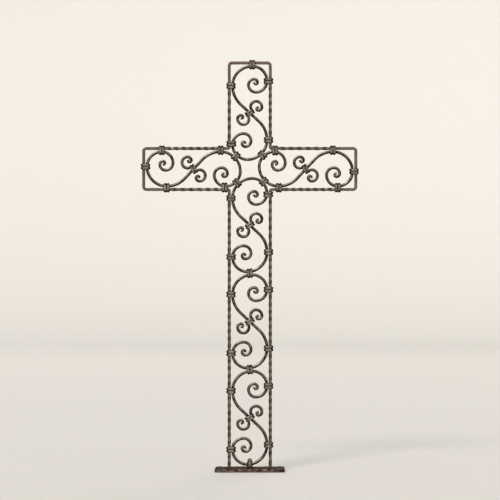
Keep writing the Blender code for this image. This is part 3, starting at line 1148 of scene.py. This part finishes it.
@dataclass
class Plate:
    """Base plate, hammered on its top and round its edge."""

    plan: Plan
    width: float = 0.178
    depth: float = 0.088
    corner: float = 0.006
    rim: float = 0.0030
    fade: float = 0.0026
    edge_band: float = 0.012
    ridge_wear: float = 2.2
    dent_soot: float = 1.7
    dent_clean: float = 0.6
    cell: float = 0.0016
    rim_parts: int = 4
    side_parts: int = 4
    top_hammer: Hammer = Hammer(size_mm=15.0, depth_mm=0.75, swell_mm=0.25, swell_size_mm=40.0)
    edge_hammer: Hammer = Hammer(size_mm=13.0, depth_mm=1.50, swell_mm=0.30, swell_size_mm=30.0,
                                 reach=0.70, raised=True)

    def grid(self) -> tuple[np.ndarray, int, int]:
        """Points of the flat top, inside its rounded rim.

        Returns:
            Points by column and row, and the number of cells each way.
        """
        half = np.array([self.width, self.depth]) / 2 - self.rim
        nx, nz = (round(2 * size / self.cell) for size in half)
        cells = np.meshgrid(2 * np.arange(nx + 1) / nx - 1, 2 * np.arange(nz + 1) / nz - 1,
                            indexing="ij")
        points = np.stack(cells, axis=2) * half
        radius = self.corner - self.rim
        inner = np.clip(points, radius - half, half - radius)
        from_inner = points - inner
        for i, j in np.argwhere(abs(from_inner).min(axis=2) > 0):
            d = from_inner[i, j]
            points[i, j] = inner[i, j] + d * abs(d).max() / np.linalg.norm(d)
        return points, nx, nz

    def sides(self) -> list[tuple[float, float, float]]:
        """Lay loops down the side, round the upper and the lower rim.

        Returns:
            For each loop its offset from the border of the top, its height and
            how far it is turned down.
        """
        top, bottom = -self.plan.plate_drop, -self.plan.height
        quarter, rim, low_rim = math.pi / 2, self.rim, self.rim / 2
        wall = (top - rim) - (bottom + low_rim)
        down = []
        for i in range(1, self.rim_parts + 1):
            a = quarter * i / self.rim_parts
            down.append((rim * math.sin(a), top - rim * (1 - math.cos(a)), a))
        for i in range(1, self.side_parts + 1):
            down.append((rim, top - rim - wall * i / self.side_parts, quarter))
        for i in range(1, self.rim_parts):
            a = quarter * i / (self.rim_parts - 1)
            down.append((rim - low_rim * (1 - math.cos(a)), bottom + low_rim * (1 - math.sin(a)),
                         quarter + a))
        return down

    def hammered(self, skin: np.ndarray, facing: np.ndarray) -> tuple[np.ndarray, np.ndarray]:
        """Hammer the top and the edge, but not the underside.

        Args:
            skin: points of the plate.
            facing: outward direction at each.

        Returns:
            The points after the blows, and how deep each lies, from 0 to 1.
        """
        inside = np.array([self.width, 0, self.depth]) / 2 - abs(skin)
        by_edge = np.clip(1 - inside[:, [0, 2]].min(axis=1) / self.edge_band, 0, 1)
        # the underside stays flat, and the dents fade out above it
        free = ((skin[:, 1] + self.plan.height) / self.fade).clip(0, 1)
        over, side = (np.array([hammer.depth(Vector(p)) for p in skin])
                      for hammer in (self.top_hammer, self.edge_hammer))
        depth = free * (over * (1 - by_edge) + side * by_edge)
        return skin - facing * depth[:, None], depth / self.edge_hammer.deepest

    def build(self) -> None:
        """Make the plate, hammer it and place it."""
        grid, nx, nz = self.grid()
        index = np.arange((nx + 1) * (nz + 1)).reshape(nx + 1, nz + 1)
        border = np.concatenate([index[:-1, 0], index[-1, :-1], index[:0:-1, -1], index[0, :0:-1]])
        flat = grid.reshape(-1, 2)
        line = flat[border]
        inner = np.array([self.width / 2 - self.corner, self.depth / 2 - self.corner])
        outward = unit(line - np.clip(line, -inner, inner))
        points = [(x, -self.plan.plate_drop, z) for x, z in flat]
        normals = [(0.0, 1.0, 0.0)] * len(flat)
        wear = [0.0] * len(flat)
        down = self.sides()
        for out, y, a in down:
            for (x, z), (ox, oz) in zip(line, outward):
                points.append((x + ox * out, y, z + oz * out))
                normals.append((ox * math.sin(a), math.cos(a), oz * math.sin(a)))
                wear.append(max(0.0, math.sin(2 * a)))
        count, around = len(flat), len(border)
        faces = [(index[i, j], index[i, j + 1], index[i + 1, j + 1], index[i + 1, j])
                 for i in range(nx) for j in range(nz)]
        loops = [list(border)] + [list(range(count + k * around, count + (k + 1) * around))
                                  for k in range(len(down))]
        for upper, lower in zip(loops, loops[1:]):
            faces += [(upper[k], upper[k - 1], lower[k - 1], lower[k]) for k in range(around)]
        faces.append(tuple(loops[-1]))
        skin, dents = self.hammered(np.array(points), np.array(normals))
        shell = Shell(skin, [tuple(int(v) for v in f) for f in faces],
                      {Mark.EDGE: np.maximum(wear, 1 - self.ridge_wear * dents).clip(0, 1),
                       Mark.SOOT_AND_SHADE: (self.dent_soot * dents - self.dent_clean).clip(0, 1)})
        place_piece("hammered_base_plate", shell, PLATE_IRON, self.plan.height, "base_plate")


# Studio


@dataclass(frozen=True)
class SoftLight:
    """A broad light so far off that it falls evenly on the whole floor.

    Its azimuth is 0 in front of the cross and 90 at its right, its breadth is
    the angle that it fills, and its strength is in watts a square metre.
    """

    name: str
    azimuth: float
    elevation: float
    breadth: float
    strength: float
    colour: str

    @property
    def towards(self) -> Vector:
        """Direction from the cross to the light."""
        a, e = math.radians(self.azimuth), math.radians(self.elevation)
        return Vector((math.sin(a) * math.cos(e), -math.cos(a) * math.cos(e), math.sin(e)))


@dataclass
class Studio:
    """Pale floor that curves up into a wall all round, soft lights and the camera."""

    paper: str = "#eae8e4"
    paper_rough: float = 0.85
    paper_specular: float = 0.2
    air: str = "#f2f1ee"
    air_strength: float = 0.48
    floor_rings: tuple[float, ...] = (0.6, 2.0, 5.0, 9.0)
    cove_radius: float = 3.0
    cove_parts: int = 12
    wall_height: float = 4.0
    around: int = 96
    camera_place: tuple[float, float, float] = (0.0006, -6.85, 0.5618)
    view_width: float = 1.27
    sensor_width: float = 36.0
    sight: float = 100.0
    lamp_distance: float = 9.0
    soft_lights: tuple[SoftLight, ...] = (
        SoftLight("key_light", -24.0, 36.0, 14.0, 1.75, "#fffaf3"),
        SoftLight("fill_light", 38.0, 16.0, 24.0, 0.28, "#f3f5ff"),
        SoftLight("back_light", 165.0, 44.0, 20.0, 0.60, "#fff6ee"))

    def floor(self) -> None:
        """Make the floor and its cove."""
        edge = self.floor_rings[-1]
        profile = [(radius, 0.0) for radius in self.floor_rings]
        for i in range(1, self.cove_parts + 1):
            a = math.pi / 2 * i / self.cove_parts
            profile.append((edge + self.cove_radius * math.sin(a),
                            self.cove_radius * (1 - math.cos(a))))
        profile.append((profile[-1][0], self.wall_height))
        points = [(0.0, 0.0, 0.0)]
        for r, z in profile:
            points += [(r * math.cos(2 * math.pi * k / self.around),
                        r * math.sin(2 * math.pi * k / self.around), z)
                       for k in range(self.around)]
        faces = [(0, 1 + k, 1 + (k + 1) % self.around) for k in range(self.around)]
        faces += [tuple(v + 1 for v in f) for f in tube(len(profile), self.around, Ends.OPEN)]
        mesh = bpy.data.meshes.new("studio_floor")
        mesh.from_pydata(points, [], faces)
        mesh.shade_smooth()
        paper = bpy.data.materials.new("seamless_paper")
        paper.use_nodes = True
        shader = paper.node_tree.nodes["Principled BSDF"]
        shader.inputs["Base Color"].default_value = linear(self.paper)
        shader.inputs["Roughness"].default_value = self.paper_rough
        shader.inputs["Specular IOR Level"].default_value = self.paper_specular
        mesh.materials.append(paper)
        place_object("studio_floor", mesh)

    def lights(self) -> None:
        """Set the broad lights and fill the room with even light."""
        for light in self.soft_lights:
            lamp = bpy.data.lights.new(light.name, "SUN")
            lamp.angle = math.radians(light.breadth)
            lamp.energy = light.strength
            lamp.color = linear(light.colour)[:3]
            hung = place_object(light.name, lamp)
            hung.location = light.towards * self.lamp_distance
            hung.rotation_euler = light.towards.to_track_quat("Z", "Y").to_euler()
        world = bpy.data.worlds.new("studio_air")
        bpy.context.scene.world = world
        world.use_nodes = True
        sky = world.node_tree.nodes["Background"]
        sky.inputs["Color"].default_value = linear(self.air)
        sky.inputs["Strength"].default_value = self.air_strength

    def camera(self) -> None:
        """Stand the camera level, straight in front, as the photograph was taken."""
        lens = bpy.data.cameras.new("camera")
        lens.sensor_width = self.sensor_width
        lens.lens = lens.sensor_width * -self.camera_place[1] / self.view_width
        lens.clip_end = self.sight
        held = place_object("camera", lens)
        held.location = self.camera_place
        held.rotation_euler = (math.pi / 2, 0.0, 0.0)
        bpy.context.scene.camera = held

    def build(self) -> None:
        """Set up the whole studio."""
        self.floor()
        self.lights()
        self.camera()
        bpy.context.scene.view_settings.view_transform = "Standard"


def main() -> None:
    """Build the cross and its studio."""
    logging.basicConfig(level=logging.INFO, format="%(message)s")
    plan = Plan()
    for part in (Scrolls(plan), Frame(plan), Collars(plan), Foot(plan), Plate(plan), Studio()):
        part.build()
        LOG.info("%s is finished", type(part).__name__)


if __name__ == "__main__":
    main()
